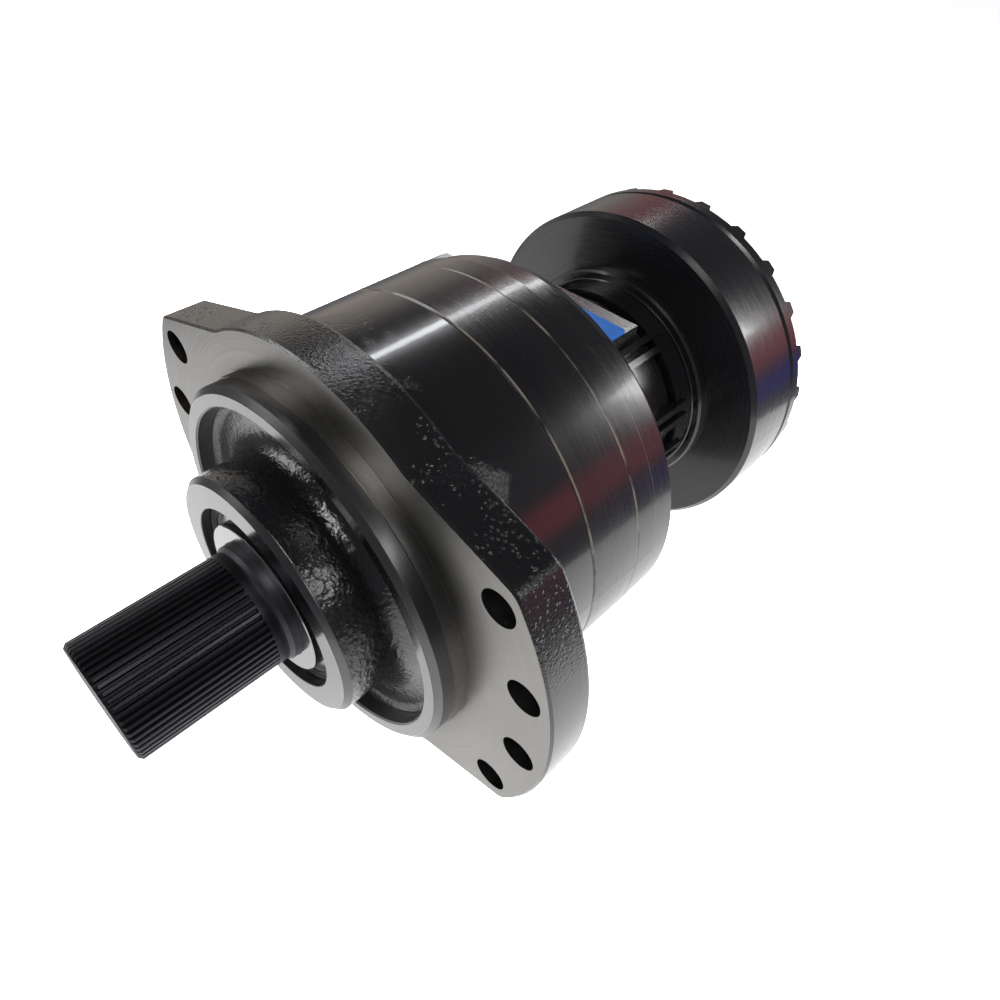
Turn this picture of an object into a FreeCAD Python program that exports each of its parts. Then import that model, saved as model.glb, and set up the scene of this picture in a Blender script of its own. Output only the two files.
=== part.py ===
import FreeCAD, Part
import Sketcher
import math
import os

# Hydraulic radial-piston final drive with splined output shaft and multi-disc
# parking brake.  Lengths in millimetres, angles in degrees.
#
# Frame: origin on the shaft axis in the front face of the mounting flange,
# output shaft towards -Y, brake towards +Y, flange ears along X, +Z up.

doc = FreeCAD.newDocument("final_drive")
sheet = doc.addObject("Spreadsheet::Sheet", "Dims")
sheet.Label = "Dims"

DIMS = [
    # mounting flange
    ("flange_pcd", 250.0, "bolt circle"),
    ("hole_dia", 17.0, "bolt hole"),
    ("hole_ang_a", 10.0, "inner holes, each side of the ear axis"),
    ("hole_ang_b", 30.0, "outer holes, each side of the ear axis"),
    ("flange_thk", 23.0, "flange thickness"),
    ("flange_rad", 112.0, "flange between the ears"),
    ("ear_rad", 139.0, "end of the ears"),
    ("ear_side", 107.5, "ear side, distance from the axis"),
    ("ear_tilt", 17.3, "ear side, slope to the ear axis"),
    ("ear_round", 10.0, "ear corner radius"),
    # pilot and nose
    ("pilot_rad", 93.7, "pilot diameter / 2"),
    ("pilot_len", 7.0, "length of the pilot"),
    ("ring_rad", 93.0, "relieved part of the spigot"),
    ("ring_face_out", 90.0, "spigot face, outer radius"),
    ("ring_face_in", 83.5, "spigot face, inner radius"),
    ("ring_len", 16.0, "spigot length"),
    ("recess_floor", 5.0, "recess floor ahead of the flange face"),
    ("nose_rad", 61.0, "nose boss"),
    ("nose_face_rad", 58.5, "nose face, outer radius"),
    ("nose_len", 37.3, "nose length"),
    ("seal_bore_rad", 46.6, "seal bore"),
    # housings
    ("case_rad", 104.2, "housing outside"),
    ("case_front_end", 67.2, "rear face of the front housing"),
    ("cam_end", 99.0, "rear face of the cam ring"),
    ("case_step", 112.0, "step in the rear housing"),
    ("case_end", 124.5, "start of the rear taper"),
    ("case_back", 129.0, "rear face of the rear housing"),
    ("case_back_rad", 99.6, "rear face, outer radius"),
    ("case_low", 102.0, "rear housing behind the step, above and below"),
    ("case_high", 103.85, "rear housing behind the step, raised sides"),
    ("neck_rad", 57.0, "neck"),
    ("neck_end", 205.0, "rear face of the neck"),
    ("neck_collar_rad", 60.0, "collar at the rear of the neck"),
    ("rib_top", 62.0, "outer radius of the neck ribs"),
    ("rib_wid", 3.6, "neck rib width"),
    ("pad_top", 68.2, "height of the port pad"),
    ("pad_half", 36.5, "half width of the port pad"),
    ("pad_waist", 31.0, "half width of the pad below its head"),
    ("plate_thk", 2.0, "port cover plate"),
    ("pad_back", 172.0, "rear edge of the port pad"),
    # bearings and shaft
    ("web_rad", 42.0, "bore through the bearing web"),
    ("brg_bore", 30.0, "bearing seats on the shaft"),
    ("fb_out", 46.0, "front bearing cup outside"),
    ("fb_near", -27.0, "front bearing, outer end"),
    ("fb_far", -4.0, "front bearing, web end"),
    ("rb_out", 55.0, "rear bearing cup outside"),
    ("rb_near", 30.0, "rear bearing, web end"),
    ("rb_far", 58.0, "rear bearing, outer end"),
    ("shaft_end", 110.8, "shaft projection from the flange face"),
    ("spline_rad", 27.8, "output spline outside"),
    ("spline_root", 26.55, "output spline root"),
    ("spline_teeth", 54, "output spline teeth"),
    ("spline_stop", 47.0, "end of the spline from the flange face"),
    ("collar_rad", 34.0, "shaft collar"),
    ("sleeve_rad", 41.0, "seal running surface"),
    ("coup_rad", 27.0, "rear spline outside"),
    ("coup_root", 25.2, "rear spline root"),
    ("coup_teeth", 24, "rear spline teeth"),
    # rotating group
    ("block_front", 68.0, "cylinder block, front face"),
    ("block_back", 98.4, "cylinder block, rear face"),
    ("block_rad", 66.0, "cylinder block outside"),
    ("piston_mid", 83.2, "plane of the pistons"),
    ("piston_rad", 11.95, "piston"),
    ("piston_bore", 12.0, "cylinder bore"),
    ("piston_foot", 42.0, "piston foot, drawn in"),
    ("roller_ctr", 62.0, "roller centre, drawn in"),
    ("roller_rad", 7.0, "cam roller"),
    ("roller_len", 18.0, "cam roller length"),
    ("pistons", 10, "number of pistons"),
    ("cam_mean", 74.5, "cam track mean radius"),
    ("cam_lift", 4.0, "cam track lift, half"),
    ("cam_lobes", 8, "cam lobes"),
    ("bolt_circle", 90.8, "housing bolt circle radius"),
    ("bolt_count", 10, "housing bolts"),
    # brake
    ("drum_rad", 97.4, "brake housing outside"),
    ("drum_front", 210.0, "brake housing, front face"),
    ("drum_joint", 248.5, "joint between brake housing and cover"),
    ("cover_rim", 256.5, "rear edge of the cover rim"),
    ("fin_end", 261.0, "rear face of the cover lugs and boss"),
    ("fins", 24, "cover lugs"),
    ("cover_turn", 8.4, "first lug of the cover, degrees above the ear axis"),
    ("hub_ring_rad", 66.7, "raised ring on the front face"),
    ("disc_out", 72.0, "friction disc outside"),
    ("plate_out", 74.6, "steel plate outside"),
    ("drum_bore", 75.0, "plate bore"),
    ("act_bore", 80.0, "brake piston bore"),
    ("hub_out", 46.0, "brake hub outside"),
    ("rod_rad", 14.0, "brake shaft"),
]
VAL = {}
for i, (name, value, note) in enumerate(DIMS):
    row = str(i + 1)
    sheet.set("A" + row, name)
    sheet.set("B" + row, repr(value))
    sheet.set("C" + row, note)
    sheet.setAlias("B" + row, name)
    VAL[name] = float(value)
doc.recompute()


class Q(object):
    """A length: its number, and the sheet formula that it comes from."""

    def __init__(self, v, t=None):
        self.v = float(v)
        self.t = t if t is not None else ("%.9g" % v if v >= 0 else "(%.9g)" % v)
        self.live = t is not None

    def _mix(self, o, op, v):
        o = q(o)
        r = Q(v, "(%s %s %s)" % (self.t, op, o.t))
        r.live = self.live or o.live
        return r

    def __add__(self, o): return self._mix(o, "+", self.v + q(o).v)
    def __sub__(self, o): return self._mix(o, "-", self.v - q(o).v)
    def __mul__(self, o): return self._mix(o, "*", self.v * q(o).v)
    def __truediv__(self, o): return self._mix(o, "/", self.v / q(o).v)
    def __radd__(self, o): return q(o) + self
    def __rsub__(self, o): return q(o) - self
    def __rmul__(self, o): return q(o) * self
    def __neg__(self):
        r = Q(-self.v, "(0 - %s)" % self.t)
        r.live = self.live
        return r


def q(x):
    return x if isinstance(x, Q) else Q(x)


def D(name):
    return Q(VAL[name], "Dims." + name)


def qcos(a):
    a = q(a)
    r = Q(math.cos(math.radians(a.v)), "cos(%s)" % a.t)
    r.live = a.live
    return r


def qsin(a):
    a = q(a)
    r = Q(math.sin(math.radians(a.v)), "sin(%s)" % a.t)
    r.live = a.live
    return r


def qsqrt(a):
    a = q(a)
    r = Q(math.sqrt(a.v), "sqrt(%s)" % a.t)
    r.live = a.live
    return r


SUB = []          # sub-parts, in writing order


def new_body(label):
    b = doc.addObject("PartDesign::Body", label)
    b.Label = label
    SUB.append(b)
    return b


def origin_plane(body, role):
    for o in body.Origin.OriginFeatures:
        if getattr(o, "Role", "") == role:
            return o
    raise RuntimeError("no plane " + role)


def new_sketch(body, name, role, off=0):
    sk = body.newObject("Sketcher::SketchObject", name)
    sk.AttachmentSupport = [(origin_plane(body, role), "")]
    sk.MapMode = "FlatFace"
    off = q(off)
    sk.AttachmentOffset = FreeCAD.Placement(FreeCAD.Vector(0, 0, off.v), FreeCAD.Rotation())
    if off.live:
        sk.setExpression("AttachmentOffset.Base.z", off.t)
    return sk


def pin(sk, kind, geo, pos, val):
    """Hold a vertex at a signed distance from the sketch origin."""
    val = q(val)
    if abs(val.v) < 1e-9:
        sk.addConstraint(Sketcher.Constraint("PointOnObject", geo, pos, -2 if kind == "DistanceX" else -1))
        return
    if val.v > 0:
        i = sk.addConstraint(Sketcher.Constraint(kind, -1, 1, geo, pos, val.v))
        txt = val.t
    else:
        i = sk.addConstraint(Sketcher.Constraint(kind, geo, pos, -1, 1, -val.v))
        txt = (-val).t
    if val.live:
        nm = "c%d" % i
        sk.renameConstraint(i, nm)
        sk.setExpression("Constraints." + nm, txt)


def loop(sk, pts):
    """Closed outline.  A point is (x, y), or (x, y, radius, turn) when the
    edge that leaves it is an arc: turn +1 runs anticlockwise."""
    n = len(pts)
    ids = []
    for k in range(n):
        a = pts[k]
        b = pts[(k + 1) % n]
        A = FreeCAD.Vector(q(a[0]).v, q(a[1]).v, 0)
        B = FreeCAD.Vector(q(b[0]).v, q(b[1]).v, 0)
        if len(a) == 4:
            r = q(a[2]).v
            M = (A + B) * 0.5
            d = (B - A)
            h = math.sqrt(max(r * r - d.Length ** 2 / 4.0, 0.0))
            nrm = FreeCAD.Vector(-d.y, d.x, 0)
            nrm.normalize()
            C = M + nrm * (h * a[3])
            a0 = math.atan2(A.y - C.y, A.x - C.x)
            a1 = math.atan2(B.y - C.y, B.x - C.x)
            if a[3] < 0:
                a0, a1 = a1, a0
            if a1 <= a0:
                a1 += 2 * math.pi
            g = sk.addGeometry(Part.ArcOfCircle(Part.Circle(C, FreeCAD.Vector(0, 0, 1), r), a0, a1), False)
            ids.append((g, 1, 2) if a[3] > 0 else (g, 2, 1))
            i = sk.addConstraint(Sketcher.Constraint("Radius", g, r))
            if q(a[2]).live:
                sk.renameConstraint(i, "c%d" % i)
                sk.setExpression("Constraints.c%d" % i, q(a[2]).t)
        else:
            g = sk.addGeometry(Part.LineSegment(A, B), False)
            ids.append((g, 1, 2))
    for k in range(n):
        g, s, e = ids[k]
        g2, s2, e2 = ids[(k + 1) % n]
        sk.addConstraint(Sketcher.Constraint("Coincident", g, e, g2, s2))
    for k in range(n):
        g, s, e = ids[k]
        pin(sk, "DistanceX", g, s, pts[k][0])
        pin(sk, "DistanceY", g, s, pts[k][1])


def ring(sk, x, y, rad):
    g = sk.addGeometry(Part.Circle(FreeCAD.Vector(q(x).v, q(y).v, 0), FreeCAD.Vector(0, 0, 1), q(rad).v), False)
    pin(sk, "DistanceX", g, 3, x)
    pin(sk, "DistanceY", g, 3, y)
    i = sk.addConstraint(Sketcher.Constraint("Radius", g, q(rad).v))
    if q(rad).live:
        sk.renameConstraint(i, "c%d" % i)
        sk.setExpression("Constraints.c%d" % i, q(rad).t)


def turned(body, pts, name="Profile", cut=False):
    """A body of revolution about Y: pts are (radius, y)."""
    sk = new_sketch(body, name, "XY_Plane")
    loop(sk, pts)
    f = body.newObject("PartDesign::Groove" if cut else "PartDesign::Revolution", name + "_rev")
    f.Profile = sk
    f.ReferenceAxis = (sk, ["V_Axis"])
    f.Angle = 360.0
    return f


def along_y(body, name, y0, y1, cut=False):
    """Sketch across the Y axis (x, z) and a pad or pocket from y0 to y1."""
    y0, y1 = q(y0), q(y1)
    sk = new_sketch(body, name, "XZ_Plane", -y0)
    f = body.newObject("PartDesign::Pocket" if cut else "PartDesign::Pad", name + "_ext")
    f.Profile = sk
    ln = y1 - y0
    f.Length = ln.v
    if ln.live:
        f.setExpression("Length", ln.t)
    f.Reversed = False if cut else True
    return sk, f


def polar(body, feat, count, name="Pattern"):
    p = body.newObject("PartDesign::PolarPattern", name)
    p.Originals = [feat]
    p.Axis = (origin_plane(body, "Y_Axis"), [""])
    p.Angle = 360.0
    c = q(count)
    p.Occurrences = int(round(c.v))
    if c.live:
        p.setExpression("Occurrences", c.t)
    body.Tip = p
    return p


def circle_edges(feature, want, tol=0.15):
    """Names of the circular edges about Y with (radius, y) near those wanted."""
    out = []
    for i, e in enumerate(feature.Shape.Edges):
        c = e.Curve
        if not isinstance(c, Part.Circle):
            continue
        if abs(c.Center.x) > 0.01 or abs(c.Center.z) > 0.01 or abs(abs(c.Axis.y) - 1) > 1e-4:
            continue
        for (r, y) in want:
            if abs(c.Radius - r) < tol and abs(c.Center.y - y) < tol:
                out.append("Edge%d" % (i + 1))
                break
    return out


def dress(body, kind, edges, size, name):
    base = body.Tip
    if not edges:
        raise RuntimeError("no edges for " + name)
    f = body.newObject("PartDesign::" + kind, name)
    f.Base = (base, edges)
    s = q(size)
    if kind == "Fillet":
        f.Radius = s.v
        if s.live:
            f.setExpression("Radius", s.t)
    else:
        f.Size = s.v
        if s.live:
            f.setExpression("Size", s.t)
    body.Tip = f
    doc.recompute()
    if not f.Shape.isValid() or "Invalid" in f.State:
        raise RuntimeError("bad " + name)
    return f


def turn_to(body, deg):
    """Place about Y: deg is measured from +X towards +Z."""
    body.Placement = FreeCAD.Placement(FreeCAD.Vector(0, 0, 0),
                                       FreeCAD.Rotation(FreeCAD.Vector(0, -1, 0), deg))


# ---------------------------------------------------------------- front housing
fh = new_body("front_housing")
turned(fh, [
    (D("seal_bore_rad") + 0.3, -D("nose_len")),
    (D("nose_face_rad"), -D("nose_len")),
    (D("nose_rad"), -D("nose_len") + 2.4),
    (D("nose_rad"), -D("recess_floor")),
    (D("ring_face_in"), -D("recess_floor")),
    (D("ring_face_in"), -D("ring_len") + 0.8),
    (D("ring_face_in") + 0.8, -D("ring_len")),
    (D("ring_face_out"), -D("ring_len")),
    (D("ring_rad"), -D("ring_len") + 2.5),
    (D("ring_rad"), -D("pilot_len")),
    (D("pilot_rad"), -D("pilot_len")),
    (D("pilot_rad"), 0),
    (D("case_rad"), 0),
    (D("case_rad"), D("case_front_end") - 0.9),
    (D("case_rad") - 0.9, D("case_front_end")),
    (84.4, D("case_front_end")),
    (84.4, D("case_front_end") - 2.0),
    (81.4, D("case_front_end") - 2.0),
    (81.4, D("case_front_end")),
    (70.0, D("case_front_end")),
    (70.0, D("rb_far") + 2),
    (D("rb_out"), D("rb_far") + 2),
    (D("rb_out"), D("rb_near")),
    (D("web_rad"), D("rb_near")),
    (D("web_rad"), D("fb_far")),
    (D("fb_out"), D("fb_far")),
    (D("fb_out"), D("fb_near") + 0.0),
    (D("seal_bore_rad"), D("fb_near") + 0.0),
    (D("seal_bore_rad"), -D("nose_len") + 0.3),
], "Case")
# flange plate with its two ears
sk, pad = along_y(fh, "Flange", 0, D("flange_thk"))
c17, s17 = qcos(D("ear_tilt")), qsin(D("ear_tilt"))
h1 = qsqrt(D("flange_rad") * D("flange_rad") - D("ear_side") * D("ear_side"))
h2 = qsqrt(D("ear_rad") * D("ear_rad") - D("ear_side") * D("ear_side"))
jx, jz = D("ear_side") * s17 + h1 * c17, D("ear_side") * c17 - h1 * s17
ex, ez = D("ear_side") * s17 + h2 * c17, D("ear_side") * c17 - h2 * s17
loop(sk, [
    (ex, -ez, D("ear_rad"), 1), (ex, ez), (jx, jz, D("flange_rad"), 1), (-jx, jz),
    (-ex, ez, D("ear_rad"), 1), (-ex, -ez), (-jx, -jz, D("flange_rad"), 1), (jx, -jz)])
ring(sk, 0, 0, 75.0)
fh.Tip = pad
doc.recompute()


def vertical_edges(feature, pts, tol=0.6):
    out = []
    for i, e in enumerate(feature.Shape.Edges):
        if not isinstance(e.Curve, Part.Line):
            continue
        a, b = e.Vertexes[0].Point, e.Vertexes[-1].Point
        if abs(a.x - b.x) > 1e-4 or abs(a.z - b.z) > 1e-4:
            continue
        for (x, z) in pts:
            if abs(a.x - x) < tol and abs(a.z - z) < tol:
                out.append("Edge%d" % (i + 1))
                break
    return out


corners = [(sx * ex.v, sz * ez.v) for sx in (1, -1) for sz in (1, -1)]
dress(fh, "Fillet", vertical_edges(pad, corners), D("ear_round"), "Ear_corners")
blend = [(sx * jx.v, sz * jz.v) for sx in (1, -1) for sz in (1, -1)]
dress(fh, "Fillet", vertical_edges(fh.Tip, blend), 25, "Ear_roots")
# rim edges of the plate
tip = fh.Tip.Shape
front, back = [], []
for i, e in enumerate(tip.Edges):
    bb = e.BoundBox
    if bb.YLength > 1e-4:
        continue
    mid = e.valueAt((e.FirstParameter + e.LastParameter) / 2.0)
    rr = math.hypot(mid.x, mid.z)
    if rr < D("flange_rad").v - 2.5:
        continue
    if abs(bb.YMin) < 1e-4:
        front.append("Edge%d" % (i + 1))
    elif abs(bb.YMin - D("flange_thk").v) < 1e-4:
        back.append("Edge%d" % (i + 1))
dress(fh, "Chamfer", front, 1.0, "Front_rim")
back = []
for i, e in enumerate(fh.Tip.Shape.Edges):
    bb = e.BoundBox
    if bb.YLength > 1e-4 or abs(bb.YMin - D("flange_thk").v) > 1e-4:
        continue
    mid = e.valueAt((e.FirstParameter + e.LastParameter) / 2.0)
    if math.hypot(mid.x, mid.z) > D("flange_rad").v - 2.5:
        back.append("Edge%d" % (i + 1))
dress(fh, "Fillet", back, 2.5, "Back_rim")
dress(fh, "Fillet", circle_edges(fh.Tip, [(D("case_rad").v, D("flange_thk").v)]), 4.0, "Flange_root")
dress(fh, "Fillet", circle_edges(fh.Tip, [(D("nose_rad").v, -D("recess_floor").v)]), 10.5, "Nose_root")
dress(fh, "Fillet", circle_edges(fh.Tip, [(D("ring_face_in").v, -D("recess_floor").v)]), 4.0, "Recess_corner")
# flange holes
v0 = fh.Tip.Shape.Volume
sk, pk = along_y(fh, "Bolt_holes", -1, D("flange_thk") + 1, cut=True)
for sgn in (1, -1):
    for an in ("hole_ang_a", "hole_ang_b"):
        for up in (1, -1):
            ring(sk, sgn * D("flange_pcd") / 2 * qcos(D(an)), up * D("flange_pcd") / 2 * qsin(D(an)),
                 D("hole_dia") / 2)
fh.Tip = pk
doc.recompute()
cutv = v0 - fh.Tip.Shape.Volume
want = 8 * math.pi * (D("hole_dia").v / 2) ** 2 * D("flange_thk").v
if abs(cutv - want) > 0.03 * want:
    raise RuntimeError("flange holes: cut %.0f, wanted %.0f" % (cutv, want))
# tapped holes for the housing bolts
v0 = fh.Tip.Shape.Volume
sk, pk = along_y(fh, "Tapped", D("case_front_end") - 27, D("case_front_end") + 1, cut=True)
ring(sk, D("bolt_circle"), 0, 5.15)
fh.Tip = pk
doc.recompute()
polar(fh, pk, D("bolt_count"), "Tapped_ring")
doc.recompute()
if abs(v0 - fh.Tip.Shape.Volume - 10 * math.pi * 5.15 ** 2 * 27) > 200:
    raise RuntimeError("tapped holes")

# ---------------------------------------------------------------- output shaft
sh = new_body("output_shaft")
S = D("shaft_end")
turned(sh, [
    (0, -S), (D("spline_rad") - 1.6, -S), (D("spline_rad"), -S + 1.6),
    (D("spline_rad"), -42.0), (29.2, -40.2), (29.2, -34.2),
    (D("collar_rad"), -34.2),
    (D("collar_rad"), D("fb_near")),
    (D("brg_bore"), D("fb_near")), (D("brg_bore"), D("rb_far")),
    (29.0, D("rb_far")), (29.0, D("block_front") - 1.6),
    (D("coup_root") - 0.3, D("block_front") - 1.6),
    (D("coup_root") - 0.3, D("block_front") - 0.2),
    (D("coup_rad"), D("block_front") - 0.2),
    (D("coup_rad"), 95.6), (D("coup_rad") - 1.4, 97.0),
    (12.6, 97.0), (12.6, 72.0), (0, 68.5)], "Shaft")
doc.recompute()
sh.Tip = sh.Group[-1]
# output spline: one gap, repeated
pitch = 360.0 / VAL["spline_teeth"]
v0 = sh.Tip.Shape.Volume
sk, pk = along_y(sh, "Gap", -S - 1, -D("spline_stop"), cut=True)
loop(sk, [(D("spline_rad") + 0.6, -1.24), (D("spline_rad") + 0.6, 1.24), (D("spline_root"), 0.48), (D("spline_root"), -0.48)])
sh.Tip = pk
doc.recompute()
polar(sh, pk, D("spline_teeth"), "Spline")
doc.recompute()
print("spline cut", v0 - sh.Tip.Shape.Volume)
if v0 - sh.Tip.Shape.Volume < 500:
    raise RuntimeError("output spline")
v0 = sh.Tip.Shape.Volume
sk, pk = along_y(sh, "Rear_gap", D("block_front") - 1, D("block_front") + 30, cut=True)
loop(sk, [(D("coup_rad") + 0.6, -2.5), (D("coup_rad") + 0.6, 2.5), (D("coup_root"), 1.25), (D("coup_root"), -1.25)])
sh.Tip = pk
doc.recompute()
polar(sh, pk, D("coup_teeth"), "Rear_spline")
doc.recompute()
print("rear spline cut", v0 - sh.Tip.Shape.Volume)
# socket for the brake shaft: sixteen keyways
v0 = sh.Tip.Shape.Volume
sk, pk = along_y(sh, "Socket_gap", 73.0, 98.0, cut=True)
loop(sk, [(11.6, -1.25), (13.9, -1.25), (13.9, 1.25), (11.6, 1.25)])
sh.Tip = pk
doc.recompute()
polar(sh, pk, 16, "Socket_spline")
doc.recompute()
print("socket cut", v0 - sh.Tip.Shape.Volume)

# ---------------------------------------------------------------- seal parts
b = new_body("seal_wear_sleeve")
turned(b, [(29.5, -36.7), (37.4, -36.7), (37.8, -36.3), (37.8, -31.0),
           (D("sleeve_rad") - 0.6, -31.0), (D("sleeve_rad"), -30.4),
           (D("sleeve_rad"), D("fb_near")), (D("collar_rad"), D("fb_near")), (D("collar_rad"), -34.2), (29.5, -34.2)])
b = new_body("shaft_seal")
turned(b, [(D("seal_bore_rad"), -31.6), (D("seal_bore_rad"), D("fb_near")), (43.6, D("fb_near")),
           (43.6, -29.4), (41.6, -28.9), (41.1, -28.5), (41.1, -29.3), (42.0, -30.2), (42.9, -31.0),
           (42.9, -31.6), (44.6, -31.6), (45.1, -32.6), (46.0, -32.6), (46.1, -31.6)])


# ---------------------------------------------------------------- taper bearings
def taper_bearing(tag, bore, out, y_thin, y_thick, rm, rr, half, count):
    """Cup, cone and roller set.  The rollers taper to an apex on the axis, on
    the y_thick side, where the cup wall is thick."""
    ym = (y_thin + y_thick) / 2.0
    d = 1.0 if y_thick > y_thin else -1.0          # towards the apex
    beta = math.radians(10.5)
    L = rm / math.tan(beta)                        # axial distance to the apex
    gam = math.asin(rr / (L / math.cos(beta)))
    c = 0.03
    apex = ym + d * L

    def race(y, ang, add):
        return abs(apex - y) * math.tan(ang) + add
    # cup
    y0, y1 = y_thin + d * 3.0, y_thick
    cup = new_body(tag + "_bearing_cup")
    turned(cup, [(bore * 0 + out, y0), (out, y1), (q(race(y1, beta + gam, c)), y1), (q(race(y0, beta + gam, c)), y0)]
           if d > 0 else
           [(out, y1), (out, y0), (q(race(y0, beta + gam, c)), y0), (q(race(y1, beta + gam, c)), y1)])
    # cone: raceway between two ribs
    z0, z1 = y_thin, y_thick - d * 2.2
    reach = half * math.cos(beta) + rr * math.sin(beta) + 0.15
    m0, m1 = ym - d * reach, ym + d * reach
    pts = [(bore, z0), (q(race(m0, beta - gam, -c) + 2.4), z0), (q(race(m0, beta - gam, -c) + 2.4), m0),
           (q(race(m0, beta - gam, -c)), m0), (q(race(m1, beta - gam, -c)), m1),
           (q(race(m1, beta - gam, -c) + 1.2), m1), (q(race(m1, beta - gam, -c) + 1.2), z1), (bore, z1)]
    cone = new_body(tag + "_bearing_cone")
    turned(cone, pts)
    # rollers
    s0 = L / math.cos(beta) + half
    s1 = L / math.cos(beta) - half
    rols = []
    for k in range(count):
        a = 2 * math.pi * k / count
        ax = FreeCAD.Vector(math.cos(a) * math.sin(beta), -d * math.cos(beta), math.sin(a) * math.sin(beta))
        P = FreeCAD.Vector(0, apex, 0) + ax * s1
        big, small = s0 * math.tan(gam) * 0.999, s1 * math.tan(gam) * 0.999
        rols.append(Part.makeCone(small, big, s0 - s1, P, ax))
    rb = doc.addObject("Part::Feature", tag + "_bearing_rollers")
    rb.Label = tag + "_bearing_rollers"
    rb.Shape = Part.makeCompound(rols)
    rb.Placement = FreeCAD.Placement()
    SUB.append(rb)


taper_bearing("front", D("brg_bore"), D("fb_out"), VAL["fb_near"], VAL["fb_far"], 38.2, 4.0, 7.6, 22)
taper_bearing("rear", D("brg_bore"), D("rb_out"), VAL["rb_far"], VAL["rb_near"], 42.6, 6.2, 9.6, 17)

b = new_body("bearing_spacer")
turned(b, [(D("brg_bore"), D("fb_far") - 1.9), (33.6, D("fb_far") - 1.9), (33.6, D("rb_near") + 2.0), (D("brg_bore"), D("rb_near") + 2.0)])

b = new_body("bearing_lock_nut")
turned(b, [(29.0, 58.3), (38.0, 58.3), (41.0, 59.6), (41.0, 65.4), (40.2, 66.2), (29.0, 66.2)], "Nut")
doc.recompute()
b.Tip = b.Group[-1]
sk, pk = along_y(b, "Notch", 58.0, 67.0, cut=True)
loop(sk, [(37.8, -3.0), (42.5, -3.0), (42.5, 3.0), (37.8, 3.0)])
b.Tip = pk
doc.recompute()
polar(b, pk, 6, "Notches")
doc.recompute()


def torus(label, mean, sec, y):
    """O-ring round the Y axis."""
    t = doc.addObject("Part::Torus", label)
    t.Label = label
    t.Radius1 = q(mean).v
    t.Radius2 = sec
    if q(mean).live:
        t.setExpression("Radius1", q(mean).t)
    t.Placement = FreeCAD.Placement(FreeCAD.Vector(0, q(y).v, 0), FreeCAD.Rotation(FreeCAD.Vector(1, 0, 0), -90))
    if q(y).live:
        t.setExpression("Placement.Base.y", q(y).t)
    return t


SUB.append(torus("front_case_o_ring", 82.9, 0.98, D("case_front_end") - 1.0))

# ---------------------------------------------------------------- cam ring
# The track is a closed wave that no sketch primitive gives, so the ring is
# made from an interpolated curve and the sheet's numbers.
n = int(VAL["cam_lobes"]) * 16
pts = []
for k in range(n):
    a = 2 * math.pi * k / n
    r = VAL["cam_mean"] + VAL["cam_lift"] * math.cos(VAL["cam_lobes"] * a)
    pts.append(FreeCAD.Vector(r * math.cos(a), 0, r * math.sin(a)))
curve = Part.BSplineCurve()
curve.interpolate(Points=pts, PeriodicFlag=True)
y0, y1 = VAL["case_front_end"], VAL["cam_end"]
inner = Part.Face(Part.Wire([curve.toShape()]))
inner.translate(FreeCAD.Vector(0, y0 - 1, 0))
track = inner.extrude(FreeCAD.Vector(0, y1 - y0 + 2, 0))
outp = Part.makePolygon([FreeCAD.Vector(*p) for p in [
    (60, y0, 0), (VAL["case_rad"] - 0.9, y0, 0), (VAL["case_rad"], y0 + 0.9, 0),
    (VAL["case_rad"], y1 - 0.3, 0), (VAL["case_rad"] - 0.3, y1, 0), (60, y1, 0), (60, y0, 0)]])
blank = Part.Face(outp).revolve(FreeCAD.Vector(0, 0, 0), FreeCAD.Vector(0, 1, 0), 360)
solid = blank.cut(track)
nb = int(VAL["bolt_count"])
for k in range(nb):
    a = 2 * math.pi * k / nb
    solid = solid.cut(Part.makeCylinder(5.5, y1 - y0 + 2, FreeCAD.Vector(
        VAL["bolt_circle"] * math.cos(a), y0 - 1, VAL["bolt_circle"] * math.sin(a)), FreeCAD.Vector(0, 1, 0)))
cam = doc.addObject("Part::Feature", "cam_ring")
cam.Label = "cam_ring"
cam.Shape = solid.Solids[0]
cam.Placement = FreeCAD.Placement()
SUB.append(cam)

# ---------------------------------------------------------------- cylinder block
b = new_body("cylinder_block")
turned(b, [(D("coup_rad") + 0.05, D("block_front")), (45.0, D("block_front")), (46.0, D("block_front") + 1.0),
           (D("block_rad") - 1.0, D("block_front") + 1.0), (D("block_rad"), D("block_front") + 2.0),
           (D("block_rad"), D("block_back") - 1.0), (D("block_rad") - 1.0, D("block_back")),
           (D("coup_rad") + 0.05, D("block_back"))], "Block")
doc.recompute()
b.Tip = b.Group[-1]
# radial cylinders
v0 = b.Tip.Shape.Volume
sk = new_sketch(b, "Bore", "YZ_Plane", D("piston_foot") - 1)
ring(sk, D("piston_mid"), 0, D("piston_bore"))
pk = b.newObject("PartDesign::Pocket", "Bore_cut")
pk.Profile = sk
pk.Length = (D("block_rad") - D("piston_foot") + 2).v
pk.setExpression("Length", (D("block_rad") - D("piston_foot") + 2).t)
pk.Reversed = True
b.Tip = pk
doc.recompute()
one = v0 - b.Tip.Shape.Volume
print("one bore", one)
polar(b, pk, D("pistons"), "Bores")
doc.recompute()
print("ten bores", v0 - b.Tip.Shape.Volume)
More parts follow.
